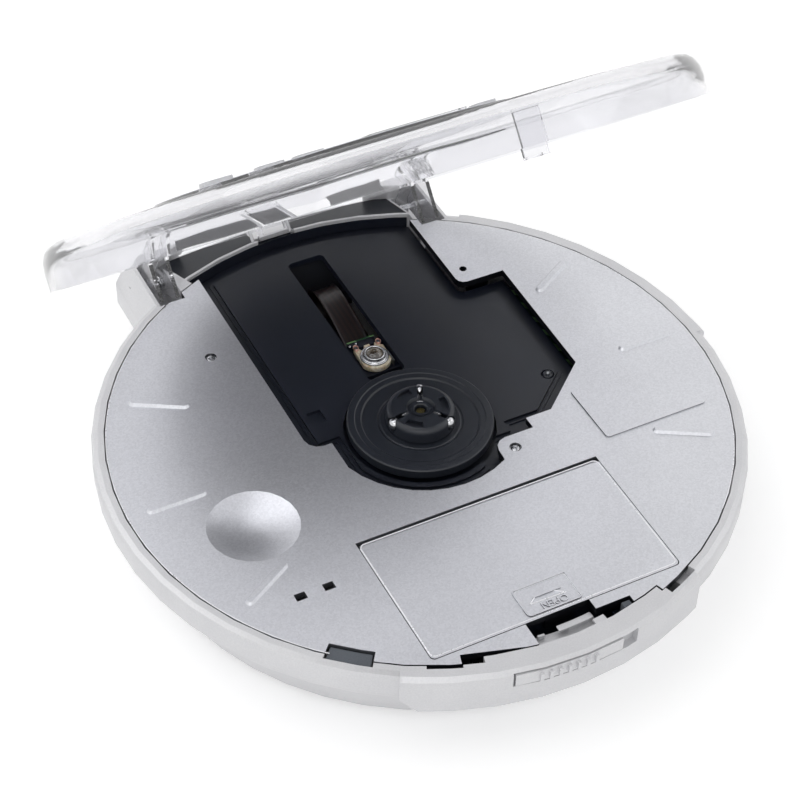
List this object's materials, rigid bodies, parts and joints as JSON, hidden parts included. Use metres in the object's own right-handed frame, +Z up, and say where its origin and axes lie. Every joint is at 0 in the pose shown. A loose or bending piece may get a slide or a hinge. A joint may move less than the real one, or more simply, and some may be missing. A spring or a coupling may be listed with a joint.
{
  "type": "portable disc player",
  "caption": "Round silver portable disc player with its clear lid raised, showing the disc bay with its spindle and laser slot, the battery door and the front slide switch.",
  "frame": {"origin": "centre of the case's flat underside, on the spindle's axis", "axes": "+X to the right side with the sockets, +Y to the lid's hinge, +Z up along the spindle"},
  "size_m": [0.1397, 0.1476, 0.1188],
  "materials": {
    "silver_paint": "silver metallic paint",
    "black_plastic": "fine grain",
    "grey_rubber": "matt",
    "bright_steel": "bright plated",
    "clear_plastic": "clear gloss",
    "white_plastic": "matt",
    "green_board": "solder mask",
    "amber_film": "clear film"
  },
  "bodies": {
    "base": {"battery_link_contact": "bright_steel", "battery_minus_contact": "bright_steel", "battery_plus_contact": "bright_steel", "battery_tray": "black_plastic", "bumper_block": "grey_rubber", "case_screw_1": "bright_steel", "case_screw_2": "bright_steel", "case_screw_3": "bright_steel", "case_screw_4": "bright_steel", "damper_1": "grey_rubber", "damper_2": "grey_rubber", "damper_3": "grey_rubber", "dc_jack": "black_plastic", "feed_motor": "bright_steel", "flex_cable": "amber_film", "foot_1": "grey_rubber", "foot_2": "grey_rubber", "foot_3": "grey_rubber", "foot_4": "grey_rubber", "guide_rod": "bright_steel", "hinge_pin_left": "bright_steel", "hinge_pin_right": "bright_steel", "lid_spring": "bright_steel", "lid_switch_box": "black_plastic", "lower_case": "silver_paint", "main_board": "green_board", "mechanism_deck": "black_plastic", "panel_screw_1": "bright_steel", "panel_screw_2": "bright_steel", "phones_jack": "black_plastic", "slider_spring": "bright_steel", "spindle_motor": "bright_steel", "top_panel": "silver_paint", "volume_pot": "black_plastic"},
    "lid": {"lid_shell": "clear_plastic", "display_pane": "clear_plastic", "key_plate": "black_plastic", "arm_spring": "bright_steel"},
    "key_1": {"lid_key_1": "white_plastic"},
    "key_2": {"lid_key_2": "white_plastic"},
    "key_3": {"lid_key_3": "white_plastic"},
    "key_4": {"lid_key_4": "white_plastic"},
    "door": {"battery_door": "silver_paint"},
    "open_switch": {"slide_knob": "silver_paint", "latch_bar": "white_plastic"},
    "lid_button": {"lid_switch": "grey_rubber"},
    "spindle": {"turntable": "black_plastic", "clamp_hub": "black_plastic", "spindle_shaft": "bright_steel"},
    "ball_1": {"clamp_ball_1": "bright_steel"},
    "ball_2": {"clamp_ball_2": "bright_steel"},
    "ball_3": {"clamp_ball_3": "bright_steel"},
    "sled": {"pickup_sled": "black_plastic", "lens_holder": "white_plastic"},
    "lens": {"objective_lens": "clear_plastic"},
    "screw": {"feed_screw": "bright_steel"},
    "wheel": {"volume_wheel": "black_plastic"},
    "hold": {"hold_switch": "grey_rubber"}
  },
  "joints": [
    {"name": "lid_hinge", "type": "hinge", "parent": "base", "child": "lid", "pos_m": [0, 0.0693, 0.0165], "axis": [-1, 0, 0], "range_deg": [-42, 0], "stiffness_Nm_per_rad": 0.02, "springref_deg": 85.94},
    {"name": "key_1_press", "type": "slide", "parent": "lid", "child": "key_1", "axis": [0, -0.6691, -0.7431], "range_m": [0, 0.0005], "stiffness_N_per_m": 300, "springref_m": -0.001},
    {"name": "key_2_press", "type": "slide", "parent": "lid", "child": "key_2", "axis": [0, -0.6691, -0.7431], "range_m": [0, 0.0005], "stiffness_N_per_m": 300, "springref_m": -0.001},
    {"name": "key_3_press", "type": "slide", "parent": "lid", "child": "key_3", "axis": [0, -0.6691, -0.7431], "range_m": [0, 0.0005], "stiffness_N_per_m": 300, "springref_m": -0.001},
    {"name": "key_4_press", "type": "slide", "parent": "lid", "child": "key_4", "axis": [0, -0.6691, -0.7431], "range_m": [0, 0.0005], "stiffness_N_per_m": 300, "springref_m": -0.001},
    {"name": "door_hinge", "type": "hinge", "parent": "base", "child": "door", "pos_m": [0, -0.0274, 0.02], "axis": [-1, 0, 0], "range_deg": [0, 100]},
    {"name": "open_slide", "type": "hinge", "parent": "base", "child": "open_switch", "pos_m": [0, 0, 0.0169], "axis": [0, 0, 1], "range_deg": [0, 2.7], "stiffness_Nm_per_rad": 1.5, "springref_deg": -1.15, "deforming": ["slider_spring"]},
    {"name": "lid_button_press", "type": "slide", "parent": "base", "child": "lid_button", "axis": [0, 0, -1], "range_m": [0, 0.001], "stiffness_N_per_m": 300, "springref_m": -0.001},
    {"name": "turntable_spin", "type": "hinge", "parent": "base", "child": "spindle", "pos_m": [0, 0, 0.021], "axis": [0, 0, 1], "continuous": true},
    {"name": "ball_1_press", "type": "slide", "parent": "spindle", "child": "ball_1", "axis": [-0.4226, -0.9063, 0], "range_m": [0, 0.0007], "stiffness_N_per_m": 300, "springref_m": -0.0008},
    {"name": "ball_2_press", "type": "slide", "parent": "spindle", "child": "ball_2", "axis": [0.9945, 0.1045, 0], "range_m": [0, 0.0007], "stiffness_N_per_m": 300, "springref_m": -0.0008},
    {"name": "ball_3_press", "type": "slide", "parent": "spindle", "child": "ball_3", "axis": [-0.5878, 0.809, 0], "range_m": [0, 0.0007], "stiffness_N_per_m": 300, "springref_m": -0.0008},
    {"name": "sled_slide", "type": "slide", "parent": "base", "child": "sled", "axis": [0, 1, 0], "range_m": [0, 0.0308], "deforming": ["flex_cable"]},
    {"name": "lens_focus", "type": "slide", "parent": "sled", "child": "lens", "axis": [0, 0, 1], "range_m": [0, 0.0004], "stiffness_N_per_m": 60, "springref_m": -0.0002},
    {"name": "screw_spin", "type": "hinge", "parent": "base", "child": "screw", "pos_m": [0.0212, 0.0148, 0.0134], "axis": [0, 1, 0], "range_deg": [0, 3700]},
    {"name": "volume_turn", "type": "hinge", "parent": "base", "child": "wheel", "pos_m": [0.05563, 0.02958, 0.0149], "axis": [0, 0, 1], "range_deg": [0, 270]},
    {"name": "hold_slide", "type": "hinge", "parent": "base", "child": "hold", "pos_m": [0, 0, 0.0156], "axis": [0, 0, 1], "range_deg": [0, 2.4]}
  ],
  "couplings": [
    {"joint": "screw_spin", "follows": "sled_slide", "rad_per_m": 2094.4}
  ]
}
